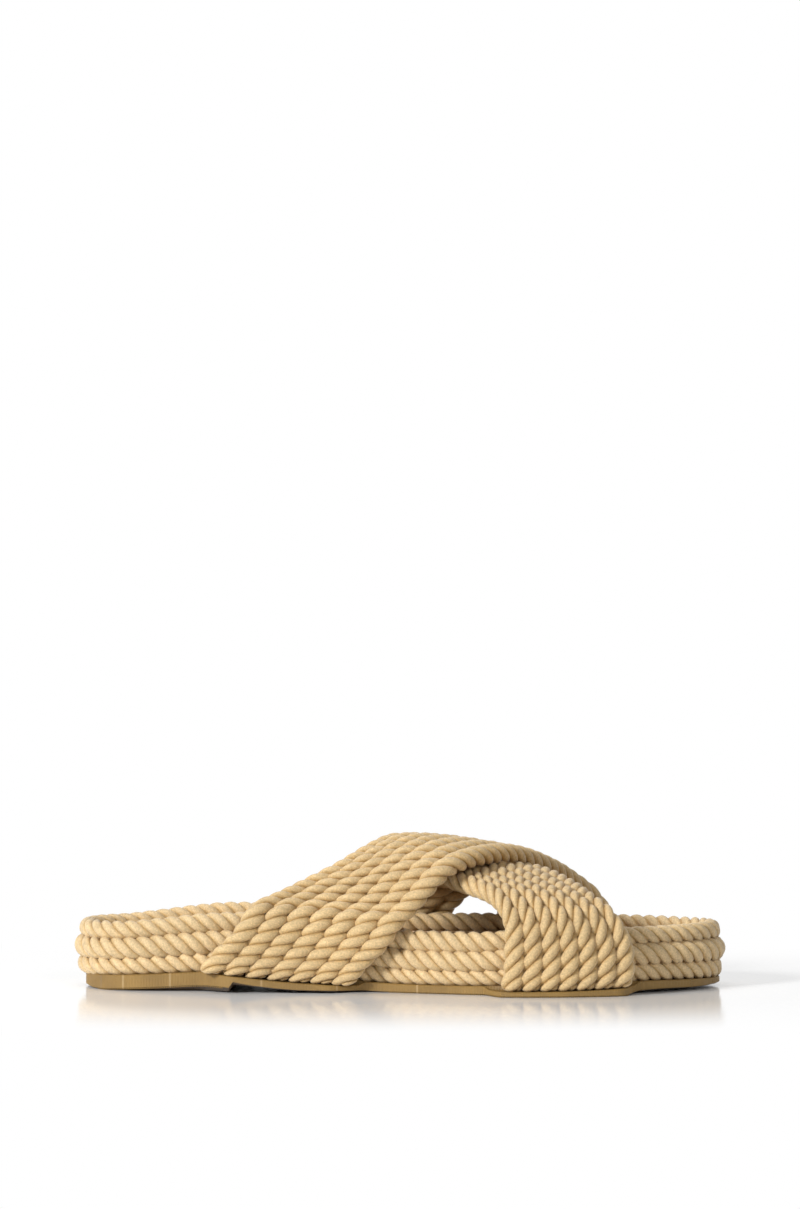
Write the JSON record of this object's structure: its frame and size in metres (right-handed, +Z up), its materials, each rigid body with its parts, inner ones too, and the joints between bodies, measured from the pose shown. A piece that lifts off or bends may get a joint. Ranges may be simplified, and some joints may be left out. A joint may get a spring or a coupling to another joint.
{
  "type": "rope sandal",
  "caption": "Flat slip-on sandal for the left foot with crossed bands of laid rope over the instep, a wall of stacked rope around the footbed and a thin moulded outsole.",
  "frame": {"origin": "on the floor under the middle of the sandal's box", "axes": "+X to the toe, +Y to the outer side of a left foot, +Z up"},
  "size_m": [0.265, 0.1102, 0.0619],
  "materials": {
    "outsole": "matt moulded rubber",
    "insole": "smooth tan lining",
    "rope_lower": "laid straw-coloured rope",
    "rope_middle": "laid straw-coloured rope",
    "rope_upper": "laid straw-coloured rope",
    "upper": "laid straw-coloured rope"
  },
  "bodies": {
    "root": {"outsole": "outsole", "insole": "insole", "rope_lower": "rope_lower", "rope_middle": "rope_middle", "rope_upper": "rope_upper", "upper": "upper"}
  },
  "joints": []
}
